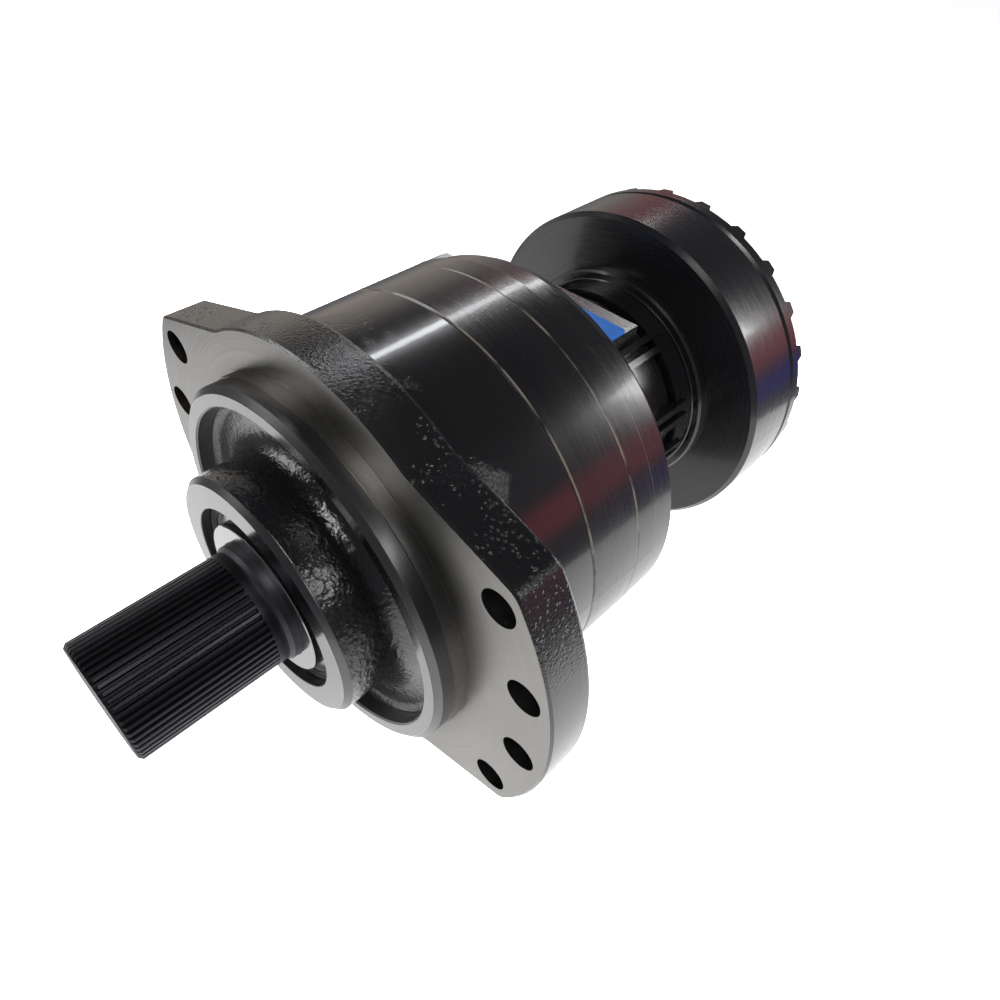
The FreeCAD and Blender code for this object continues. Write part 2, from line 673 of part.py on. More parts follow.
# feed hole behind each cylinder, and the spline of the hub
v0 = b.Tip.Shape.Volume
sk, pk = along_y(b, "Feed", D("piston_mid"), D("block_back") + 1, cut=True)
ring(sk, D("piston_foot") + 2.5, 0, 3.2)
b.Tip = pk
doc.recompute()
polar(b, pk, D("pistons"), "Feeds")
doc.recompute()
print("feeds", v0 - b.Tip.Shape.Volume)
v0 = b.Tip.Shape.Volume
sk, pad = along_y(b, "Tooth", D("block_front"), D("block_back"))
loop(sk, [(D("coup_rad") + 0.4, -2.15), (D("coup_rad") + 0.4, 2.15), (D("coup_root") + 0.25, 1.12), (D("coup_root") + 0.25, -1.12)])
b.Tip = pad
doc.recompute()
polar(b, pad, D("coup_teeth"), "Teeth")
doc.recompute()
print("hub teeth", b.Tip.Shape.Volume - v0)

# ---------------------------------------------------------------- pistons and rollers
for k in range(int(VAL["pistons"])):
    deg = 360.0 / VAL["pistons"] * k
    p = new_body("piston_%02d" % (k + 1))
    sk = new_sketch(p, "Round", "YZ_Plane", D("piston_foot"))
    ring(sk, D("piston_mid"), 0, D("piston_rad"))
    f = p.newObject("PartDesign::Pad", "Body_pad")
    f.Profile = sk
    f.Length = (D("roller_ctr") + 2.0 - D("piston_foot")).v
    f.setExpression("Length", (D("roller_ctr") + 2.0 - D("piston_foot")).t)
    p.Tip = f
    sk, pk = along_y(p, "Cradle", D("piston_mid") - 14, D("piston_mid") + 14, cut=True)
    ring(sk, D("roller_ctr"), 0, D("roller_rad") + 0.05)
    p.Tip = pk
    sk = new_sketch(p, "Hollow", "YZ_Plane", D("piston_foot"))
    ring(sk, D("piston_mid"), 0, 7.0)
    f = p.newObject("PartDesign::Pocket", "Hollow_cut")
    f.Profile = sk
    f.Length = 8.0
    f.Reversed = True
    p.Tip = f
    turn_to(p, deg)
    r = new_body("cam_roller_%02d" % (k + 1))
    sk = new_sketch(r, "Roller", "XY_Plane", 0)
    y0, y1 = D("piston_mid") - D("roller_len") / 2, D("piston_mid") + D("roller_len") / 2
    R = D("roller_rad")
    x = D("roller_ctr")
    loop(sk, [(x, y0), (x + R - 0.8, y0), (x + R, y0 + 0.8), (x + R, y1 - 0.8), (x + R - 0.8, y1), (x, y1)])
    f = r.newObject("PartDesign::Revolution", "Roller_rev")
    f.Profile = sk
    f.ReferenceAxis = (sk, ["Edge6"])
    f.Angle = 360.0
    r.Tip = f
    turn_to(r, deg)

# ---------------------------------------------------------------- distributor
b = new_body("distributor_valve")
turned(b, [(17.0, 98.5), (57.0, 98.5), (57.0, 106.0), (54.0, 106.0), (54.0, 113.0), (50.0, 113.0), (50.0, 120.0), (17.0, 120.0)], "Valve")
doc.recompute()
b.Tip = b.Group[-1]
v0 = b.Tip.Shape.Volume
sk, pk = along_y(b, "Port", 97.5, 112.5, cut=True)
ring(sk, 44.0, 0, 4.0)
b.Tip = pk
doc.recompute()
polar(b, pk, 16, "Ports")
doc.recompute()
print("distributor ports", v0 - b.Tip.Shape.Volume)

rings = []
for (mean, yy) in ((56.0, 108.0), (52.0, 115.0)):
    rings.append(Part.makeTorus(mean, 0.95, FreeCAD.Vector(0, yy, 0), FreeCAD.Vector(0, 1, 0)))
o = doc.addObject("Part::Feature", "distributor_o_rings")
o.Label = "distributor_o_rings"
o.Shape = Part.makeCompound(rings)
o.Placement = FreeCAD.Placement()
SUB.append(o)

SUB.append(torus("rear_case_o_ring", 82.9, 0.98, D("cam_end") + 1.0))

# ---------------------------------------------------------------- rear housing and neck
rh = new_body("rear_housing")
turned(rh, [
    (D("case_rad") - 0.3, D("cam_end")), (D("case_rad"), D("cam_end") + 0.3),
    (D("case_rad"), D("case_step")), (D("case_low"), D("case_step")),
    (D("case_low") - 0.4, D("case_end")), (D("case_back_rad"), D("case_back")),
    (D("neck_rad"), D("case_back")), (D("neck_rad"), 190.0), (D("neck_rad") - 4.5, 191.0), (D("neck_rad") - 4.5, 193.0),
    (D("neck_collar_rad"), 193.0), (D("neck_collar_rad"), D("neck_end")),
    (30.0, D("neck_end")), (30.0, 200.0), (22.0, 192.0), (22.0, 134.0), (17.0, 130.0), (17.0, 120.4),
    (51.1, 120.4), (51.1, 117.0), (53.0, 117.0), (53.0, 113.4), (55.1, 113.4), (55.1, 110.0), (57.1, 110.0),
    (57.1, 106.4), (58.0, 106.4), (58.0, 99.0 + 0.0), (81.4, D("cam_end")), (81.4, D("cam_end") + 2.0),
    (84.4, D("cam_end") + 2.0), (84.4, D("cam_end"))], "Case")
doc.recompute()
rh.Tip = rh.Group[-1]
# raised sides behind the step, 120 degrees wide each
sk = new_sketch(rh, "Side", "XY_Plane")
loop(sk, [(97.0, D("case_step")), (D("case_high"), D("case_step")), (D("case_high"), D("case_end")),
          (D("case_back_rad") + 0.4, D("case_back")), (97.0, D("case_back"))])
f = rh.newObject("PartDesign::Revolution", "Side_rev")
f.Profile = sk
f.ReferenceAxis = (sk, ["V_Axis"])
f.Midplane = True
f.Angle = 120.0
rh.Tip = f
doc.recompute()
v0 = rh.Tip.Shape.Volume
polar(rh, f, 2, "Sides")
doc.recompute()
print("sides", rh.Tip.Shape.Volume - v0)
if rh.Tip.Shape.Volume - v0 < 2000:
    raise RuntimeError("sides")
# port pad on top of the neck, wider at its head
sk, pad = along_y(rh, "Pad", D("case_back") - 0.5, D("pad_back"))
loop(sk, [(-D("pad_waist"), 30.0), (D("pad_waist"), 30.0), (D("pad_waist"), 61.5), (D("pad_half"), 63.5),
          (D("pad_half"), D("pad_top")), (-D("pad_half"), D("pad_top")), (-D("pad_half"), 63.5), (-D("pad_waist"), 61.5)])
rh.Tip = pad
doc.recompute()
# axial ribs in pairs round the neck
for j, (a0, a1) in enumerate(((9.4, 200.5), (16.8, 200.5), (50.0, 200.5), (57.2, 200.5))):
    sk, pad = along_y(rh, "Rib%d" % j, D("case_back") - 0.5, a1)
    for sx in (1, -1):
        for sz in (1, -1):
            c, s = math.cos(math.radians(a0)), math.sin(math.radians(a0))
            w = VAL["rib_wid"] / 2
            loop(sk, [(sx * (52 * c + w * s), sz * (52 * s - w * c)), (sx * (VAL["rib_top"] * c + w * s), sz * (VAL["rib_top"] * s - w * c)),
                      (sx * (VAL["rib_top"] * c - w * s), sz * (VAL["rib_top"] * s + w * c)), (sx * (52 * c - w * s), sz * (52 * s + w * c))])
    rh.Tip = pad
    doc.recompute()
# ports in the pad, down to the gallery behind the distributor
v0 = rh.Tip.Shape.Volume
sk = new_sketch(rh, "Port_holes", "XY_Plane", D("pad_top"))
ring(sk, 15.0, 150.0, 9.0)
ring(sk, -15.0, 150.0, 9.0)
pk = rh.newObject("PartDesign::Pocket", "Port_cut")
pk.Profile = sk
pk.Length = 32.2
rh.Tip = pk
doc.recompute()
print("ports", v0 - rh.Tip.Shape.Volume)
# counterbored holes for the housing bolts
v0 = rh.Tip.Shape.Volume
sk, pk = along_y(rh, "Clear", D("cam_end") - 1, D("case_back") + 1, cut=True)
ring(sk, D("bolt_circle"), 0, 5.5)
rh.Tip = pk
doc.recompute()
p1 = polar(rh, pk, D("bolt_count"), "Clear_ring")
doc.recompute()
sk, pk = along_y(rh, "Sink", D("case_back") - 11, D("case_back") + 1, cut=True)
ring(sk, D("bolt_circle"), 0, 8.3)
rh.Tip = pk
doc.recompute()
polar(rh, pk, D("bolt_count"), "Sink_ring")
doc.recompute()
print("bolt holes", v0 - rh.Tip.Shape.Volume)
# tapped holes for the brake housing screws
v0 = rh.Tip.Shape.Volume
sk, pk = along_y(rh, "Brake_tapped", D("neck_end") - 22, D("neck_end") + 1, cut=True)
ring(sk, 45.0, 0, 4.25)
rh.Tip = pk
doc.recompute()
polar(rh, pk, 8, "Brake_tapped_ring")
doc.recompute()
print("brake tapped", v0 - rh.Tip.Shape.Volume)
# drain hole underneath
sk = new_sketch(rh, "Drain", "XY_Plane", -D("neck_rad"))
ring(sk, 0, 158.0, 7.0)
pk = rh.newObject("PartDesign::Pocket", "Drain_cut")
pk.Profile = sk
pk.Length = 14.0
pk.Reversed = True
rh.Tip = pk
v0 = rh.Tip.Shape.Volume if rh.Tip.Shape and not rh.Tip.Shape.isNull() else 0
doc.recompute()

# ---------------------------------------------------------------- housing bolts
shapes = []
for k in range(nb):
    a = 2 * math.pi * k / nb
    base = FreeCAD.Vector(VAL["bolt_circle"] * math.cos(a), 0, VAL["bolt_circle"] * math.sin(a))
    Yv = FreeCAD.Vector(0, 1, 0)
    yh = VAL["case_back"] - 11.0
    shank = Part.makeCylinder(5.1, yh - 43.0, base + Yv * 43.0, Yv)
    head = Part.makeCylinder(8.0, 10.0, base + Yv * yh, Yv)
    e = [x for x in head.Edges if isinstance(x.Curve, Part.Circle) and abs(x.Curve.Center.y - yh - 10.0) < 1e-6]
    head = head.makeChamfer(0.8, e)
    hexa = Part.Face(Part.makePolygon([base + Yv * (yh + 10.0) + FreeCAD.Vector(4.6 * math.cos(t), 0, 4.6 * math.sin(t))
                                       for t in [math.radians(60 * m) for m in range(7)]])).extrude(FreeCAD.Vector(0, -6, 0))
    shapes.append(shank.fuse(head).cut(hexa).removeSplitter())
o = doc.addObject("Part::Feature", "housing_bolts")
o.Label = "housing_bolts"
o.Shape = Part.makeCompound(shapes)
o.Placement = FreeCAD.Placement()
SUB.append(o)

# ---------------------------------------------------------------- port cover, one piece with two spigots
b = new_body("port_cover")
sk = new_sketch(b, "Plate", "XY_Plane", D("pad_top"))
loop(sk, [(-D("pad_half"), 132.6), (D("pad_half"), 132.6), (D("pad_half"), 162.2), (-D("pad_half"), 162.2)])
f = b.newObject("PartDesign::Pad", "Plate_pad")
f.Profile = sk
f.Length = 2.0
f.setExpression("Length", D("plate_thk").t)
b.Tip = f
doc.recompute()
sk = new_sketch(b, "Spigots", "XY_Plane", D("pad_top"))
ring(sk, 15.0, 150.0, 8.8)
ring(sk, -15.0, 150.0, 8.8)
f = b.newObject("PartDesign::Pad", "Spigot_pad")
f.Profile = sk
f.Length = 12.0
f.Reversed = True
b.Tip = f
doc.recompute()
top = []
for i, e in enumerate(b.Tip.Shape.Edges):
    if abs(e.BoundBox.ZMin - VAL["pad_top"] - VAL["plate_thk"]) < 1e-4 and e.BoundBox.ZLength < 1e-4:
        top.append("Edge%d" % (i + 1))
dress(b, "Fillet", vertical_edges(b.Tip, []) or [
    "Edge%d" % (i + 1) for i, e in enumerate(b.Tip.Shape.Edges)
    if isinstance(e.Curve, Part.Line) and 1.9 < e.BoundBox.ZLength < 2.1 and e.BoundBox.XLength < 1e-4 and e.BoundBox.YLength < 1e-4],
    1.4, "Plate_corners")
dress(b, "Fillet", [
    "Edge%d" % (i + 1) for i, e in enumerate(b.Tip.Shape.Edges)
    if abs(e.BoundBox.ZMin - VAL["pad_top"] - VAL["plate_thk"]) < 1e-3 and e.BoundBox.ZLength < 1e-3], 0.6, "Plate_rim")

b = new_body("drain_plug")
sk = new_sketch(b, "Thread", "XY_Plane", -D("neck_rad"))
ring(sk, 0, 158.0, 6.95)
f = b.newObject("PartDesign::Pad", "Thread_pad")
f.Profile = sk
f.Length = 10.0
b.Tip = f
sk = new_sketch(b, "Head", "XY_Plane", -D("neck_rad"))
ring(sk, 0, 158.0, 9.5)
f = b.newObject("PartDesign::Pad", "Head_pad")
f.Profile = sk
f.Length = 4.0
f.Reversed = True
b.Tip = f
sk = new_sketch(b, "Key", "XY_Plane", -D("neck_rad") - 4.0)
loop(sk, [(4.0 * math.cos(math.radians(60 * m)), 158.0 + 4.0 * math.sin(math.radians(60 * m))) for m in range(6)])
f = b.newObject("PartDesign::Pocket", "Key_cut")
f.Profile = sk
f.Length = 5.0
f.Reversed = True
b.Tip = f
doc.recompute()

# ---------------------------------------------------------------- brake housing
bh = new_body("brake_housing")
turned(bh, [
    (30.0, D("neck_end")), (D("hub_ring_rad") - 5.2, D("neck_end")), (D("hub_ring_rad") - 4.6, D("neck_end") - 0.0 + 0.6),
    (D("hub_ring_rad") - 1.2, D("neck_end") + 0.6), (D("hub_ring_rad"), D("neck_end") + 1.8),
    (D("hub_ring_rad"), D("drum_front")), (D("drum_rad") - 2.4, D("drum_front")), (D("drum_rad"), D("drum_front") + 2.4),
    (D("drum_rad"), D("drum_joint") - 1.7), (D("drum_rad") - 1.7, D("drum_joint")),
    (85.2, D("drum_joint")), (85.2, D("drum_joint") - 1.9), (82.4, D("drum_joint") - 1.9), (82.4, D("drum_joint")),
    (D("act_bore"), D("drum_joint")), (D("act_bore"), 238.0), (D("drum_bore"), 238.0), (D("drum_bore"), 219.0),
    (30.0, 219.0)], "Drum")
doc.recompute()
bh.Tip = bh.Group[-1]
v0 = bh.Tip.Shape.Volume
sk, pk = along_y(bh, "Slot", 219.0, 238.4, cut=True)
loop(sk, [(73.0, -6.2), (78.4, -6.2), (78.4, 6.2), (73.0, 6.2)])
bh.Tip = pk
doc.recompute()
polar(bh, pk, 6, "Slots")
doc.recompute()
print("slots", v0 - bh.Tip.Shape.Volume)
v0 = bh.Tip.Shape.Volume
sk, pk = along_y(bh, "Screw_hole", 204.0, 220.0, cut=True)
ring(sk, 45.0, 0, 5.4)
bh.Tip = pk
doc.recompute()
polar(bh, pk, 8, "Screw_holes")
doc.recompute()
sk, pk = along_y(bh, "Screw_sink", 211.4, 220.0, cut=True)
ring(sk, 45.0, 0, 8.4)
bh.Tip = pk
doc.recompute()
polar(bh, pk, 8, "Screw_sinks")
doc.recompute()
print("screw holes", v0 - bh.Tip.Shape.Volume)
v0 = bh.Tip.Shape.Volume
sk, pk = along_y(bh, "Cover_tapped", D("drum_joint") - 16, D("drum_joint") + 1, cut=True)
cover_ang = math.radians(7.5 + VAL["cover_turn"])
ring(sk, 91.0 * math.cos(cover_ang), 91.0 * math.sin(cover_ang), 2.6)
bh.Tip = pk
doc.recompute()
polar(bh, pk, 12, "Cover_tapped_ring")
doc.recompute()
print("cover tapped", v0 - bh.Tip.Shape.Volume)


def cap_screws(label, radius, first, count, y_seat, sgn, shank_r, shank_l, head_r, head_h, key):
    """Socket head cap screws along Y.  sgn +1: head towards +Y."""
    out = []
    Yv = FreeCAD.Vector(0, sgn, 0)
    for k in range(count):
        a = math.radians(first + 360.0 * k / count)
        p = FreeCAD.Vector(radius * math.cos(a), y_seat, radius * math.sin(a))
        shank = Part.makeCylinder(shank_r, shank_l + 0.5, p - Yv * shank_l, Yv)
        head = Part.makeCylinder(head_r, head_h, p, Yv)
        e = [x for x in head.Edges if isinstance(x.Curve, Part.Circle) and abs(x.Curve.Center.y - p.y - sgn * head_h) < 1e-6]
        head = head.makeChamfer(0.5, e)
        t = p + Yv * head_h
        hexa = Part.Face(Part.makePolygon([t + FreeCAD.Vector(key * math.cos(u), 0, key * math.sin(u))
                                           for u in [math.radians(60 * m) for m in range(7)]])).extrude(Yv * (-head_h * 0.55))
        out.append(shank.fuse(head).cut(hexa).removeSplitter())
    o = doc.addObject("Part::Feature", label)
    o.Label = label
    o.Shape = Part.makeCompound(out)
    o.Placement = FreeCAD.Placement()
    SUB.append(o)


cap_screws("brake_housing_screws", 45.0, 0.0, 8, 211.4, 1, 4.2, 26.0, 7.4, 7.2, 3.9)
cap_screws("cover_screws", 91.0, 7.5 + VAL["cover_turn"], 12, VAL["cover_rim"] - 4.5, 1, 2.55, 18.0, 4.4, 4.6, 2.4)

# ---------------------------------------------------------------- brake cover with cast lugs
bc = new_body("brake_cover")
turned(bc, [
    (0, 250.4), (20.0, 250.4), (20.0, 244.0), (24.9, 244.0), (24.9, 251.4), (74.0, 253.2), (76.0, D("drum_joint")),
    (D("drum_rad") - 1.7, D("drum_joint")), (D("drum_rad"), D("drum_joint") + 1.7),
    (D("drum_rad"), D("cover_rim") - 0.6), (D("drum_rad") - 0.6, D("cover_rim")),
    (0, D("cover_rim"))], "Cover")
doc.recompute()
bc.Tip = bc.Group[-1]
v0 = bc.Tip.Shape.Volume
sk = new_sketch(bc, "Lug", "YZ_Plane", 62.0)
loop(sk, [(D("cover_rim") - 1.0, -5.4), (D("fin_end"), -3.0), (D("fin_end"), 3.0), (D("cover_rim") - 1.0, 5.4)])
pad = bc.newObject("PartDesign::Pad", "Lug_pad")
pad.Profile = sk
pad.Length = 34.8
bc.Tip = pad
doc.recompute()
polar(bc, pad, D("fins"), "Lugs")
doc.recompute()
print("lugs", bc.Tip.Shape.Volume - v0)
if bc.Tip.Shape.Volume - v0 < 20000:
    raise RuntimeError("lugs")
sk, pad = along_y(bc, "Boss", D("cover_rim") - 1.0, D("fin_end"))
ring(sk, 0, 0, 32.0)
bc.Tip = pad
doc.recompute()
v0 = bc.Tip.Shape.Volume
sk, pk = along_y(bc, "Screw_clear", D("drum_joint") - 1, D("fin_end") + 1, cut=True)
ring(sk, 91.0 * math.cos(math.radians(7.5)), 91.0 * math.sin(math.radians(7.5)), 2.9)
bc.Tip = pk
doc.recompute()
polar(bc, pk, 12, "Screw_clear_ring")
doc.recompute()
sk, pk = along_y(bc, "Screw_seat", D("cover_rim") - 4.5, D("fin_end") + 1, cut=True)
ring(sk, 91.0 * math.cos(math.radians(7.5)), 91.0 * math.sin(math.radians(7.5)), 5.0)
bc.Tip = pk
doc.recompute()
polar(bc, pk, 12, "Screw_seats")
doc.recompute()
print("cover holes", v0 - bc.Tip.Shape.Volume)
# tapped hole for the release plug
v0 = bc.Tip.Shape.Volume
sk, pk = along_y(bc, "Plug_hole", D("drum_joint"), D("fin_end") + 1, cut=True)
ring(sk, 0, 0, 10.0)
bc.Tip = pk
doc.recompute()
print("plug hole", v0 - bc.Tip.Shape.Volume)
turn_to(bc, VAL["cover_turn"])

b = new_body("release_plug")
turned(b, [(0, 250.6), (9.9, 250.6), (9.9, D("fin_end")), (13.5, D("fin_end")), (13.5, 263.0 - 0.0), (12.7, 263.8), (0, 263.8)], "Plug")
doc.recompute()
b.Tip = b.Group[-1]
sk, pk = along_y(b, "Key", 258.8, 264.8, cut=True)
loop(sk, [(6.0 * math.cos(math.radians(60 * m)), 6.0 * math.sin(math.radians(60 * m))) for m in range(6)])
b.Tip = pk
doc.recompute()

SUB.append(torus("cover_o_ring", 83.8, 0.93, D("drum_joint") - 0.96))

# ---------------------------------------------------------------- brake shaft with hub
b = new_body("brake_shaft")
turned(b, [
    (0, 73.5), (11.0, 73.5), (12.0, 74.5), (12.0, 97.4), (D("rod_rad"), 99.4), (D("rod_rad"), 214.0), (20.0, 220.4),
    (D("hub_out") - 1.0, 220.4), (D("hub_out"), 221.4), (D("hub_out"), 236.0), (D("hub_out") - 1.0, 237.0),
    (40.0, 237.0), (40.0, 226.0), (16.0, 226.0), (16.0, 242.0), (0, 242.0)], "Shaft")
doc.recompute()
b.Tip = b.Group[-1]
v0 = b.Tip.Shape.Volume
sk, pad = along_y(b, "Key", 74.5, 95.5)
loop(sk, [(11.0, -1.15), (13.5, -1.15), (13.5, 1.15), (11.0, 1.15)])
b.Tip = pad
doc.recompute()
polar(b, pad, 16, "Keys")
doc.recompute()
print("keys", b.Tip.Shape.Volume - v0)
v0 = b.Tip.Shape.Volume
sk, pk = along_y(b, "Hub_gap", 219.5, 238.0, cut=True)
loop(sk, [(43.4, -1.9), (47.0, -2.9), (47.0, 2.9), (43.4, 1.9)])
b.Tip = pk
doc.recompute()
polar(b, pk, 30, "Hub_spline")
doc.recompute()
print("hub gaps", v0 - b.Tip.Shape.Volume)

# ---------------------------------------------------------------- brake pack
# steel plates and friction discs alternate, 2.3 and 2.6 thick, 0.1 apart
y = 219.1
stack = []
for k in range(4):
    stack.append(("brake_plate_%d" % (k + 1), y, 2.3))
    y += 2.3 + 0.1
    if k < 3:
        stack.append(("friction_disc_%d" % (k + 1), y, 2.6))
        y += 2.6 + 0.1
print("brake pack ends at", y - 0.1)
for (label, y0, thk) in stack:
    b = new_body(label)
    if label.startswith("brake_plate"):
        turned(b, [(48.5, y0), (D("plate_out"), y0), (D("plate_out"), y0 + thk), (48.5, y0 + thk)], "Plate")
        doc.recompute()
        b.Tip = b.Group[-1]
        sk, pad = along_y(b, "Lug", y0, y0 + thk)
        loop(sk, [(70.0, -5.9), (78.0, -5.9), (78.0, 5.9), (70.0, 5.9)])
        b.Tip = pad
        doc.recompute()
        polar(b, pad, 6, "Lugs")
    else:
        turned(b, [(46.2, y0), (D("disc_out"), y0), (D("disc_out"), y0 + thk), (46.2, y0 + thk)], "Disc")
        doc.recompute()
        b.Tip = b.Group[-1]
        sk, pad = along_y(b, "Tooth", y0, y0 + thk)
        loop(sk, [(43.8, -1.75), (47.0, -2.55), (47.0, 2.55), (43.8, 1.75)])
        b.Tip = pad
        doc.recompute()
        polar(b, pad, 30, "Teeth")
    doc.recompute()

# ---------------------------------------------------------------- brake piston, ring and spring
b = new_body("brake_piston")
turned(b, [
    (50.0, 238.3), (70.0, 238.3), (70.0, 239.4), (D("act_bore") - 0.05, 239.4), (D("act_bore") - 0.05, 241.4),
    (D("act_bore") - 2.0, 241.4), (D("act_bore") - 2.0, 243.6), (D("act_bore") - 0.05, 243.6), (D("act_bore") - 0.05, 245.8),
    (24.95 + 0.0, 245.8), (24.95, 243.0), (50.0, 243.0)], "Piston")
SUB.append(torus("piston_ring", D("act_bore") - 1.02, 0.96, 242.5))
b = new_body("brake_disc_spring")
turned(b, [(34.0, 245.9), (70.0, 248.3), (70.2, 250.4), (34.2, 248.0)], "Spring")

# ---------------------------------------------------------------- checks and output
doc.recompute()
bad = [o.Name for o in doc.Objects if "Invalid" in o.State or "Error" in o.State]
if bad:
    raise RuntimeError("failed objects: " + ", ".join(bad))
for o in SUB:
    if o.Shape.isNull() or not o.Shape.isValid() or not o.Shape.Solids:
        raise RuntimeError("bad shape: " + o.Label)
    if o.Shape.Volume <= 0:
        raise RuntimeError("no volume: " + o.Label)
os.makedirs("parts", exist_ok=True)
for o in SUB:
    o.Shape.exportStep("parts/" + o.Label + ".step")
    bb = o.Shape.BoundBox
    print("%-24s solids %2d  vol %9.0f  x %7.2f %7.2f  y %7.2f %7.2f  z %7.2f %7.2f" % (
        o.Label, len(o.Shape.Solids), o.Shape.Volume, bb.XMin, bb.XMax, bb.YMin, bb.YMax, bb.ZMin, bb.ZMax))
print("nodes", len(SUB))
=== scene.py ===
import math
import bmesh
import bpy
from mathutils import Matrix, Vector


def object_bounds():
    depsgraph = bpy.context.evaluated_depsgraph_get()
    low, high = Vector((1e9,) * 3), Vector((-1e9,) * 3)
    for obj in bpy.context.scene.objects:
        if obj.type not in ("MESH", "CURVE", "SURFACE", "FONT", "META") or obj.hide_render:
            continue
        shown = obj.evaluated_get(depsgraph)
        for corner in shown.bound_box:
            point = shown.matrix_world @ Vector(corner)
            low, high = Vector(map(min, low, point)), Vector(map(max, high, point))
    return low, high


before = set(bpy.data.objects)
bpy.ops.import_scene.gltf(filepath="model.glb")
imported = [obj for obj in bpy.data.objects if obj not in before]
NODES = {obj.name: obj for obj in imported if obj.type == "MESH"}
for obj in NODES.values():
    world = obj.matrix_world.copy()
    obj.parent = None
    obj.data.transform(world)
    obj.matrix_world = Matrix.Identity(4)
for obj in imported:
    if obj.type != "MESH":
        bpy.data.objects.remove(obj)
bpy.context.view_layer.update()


MM = 0.001
scene = bpy.context.scene
scene.view_settings.view_transform = "Standard"
scene.view_settings.look = "None"
scene.view_settings.exposure = 0.0
scene.view_settings.gamma = 1.0


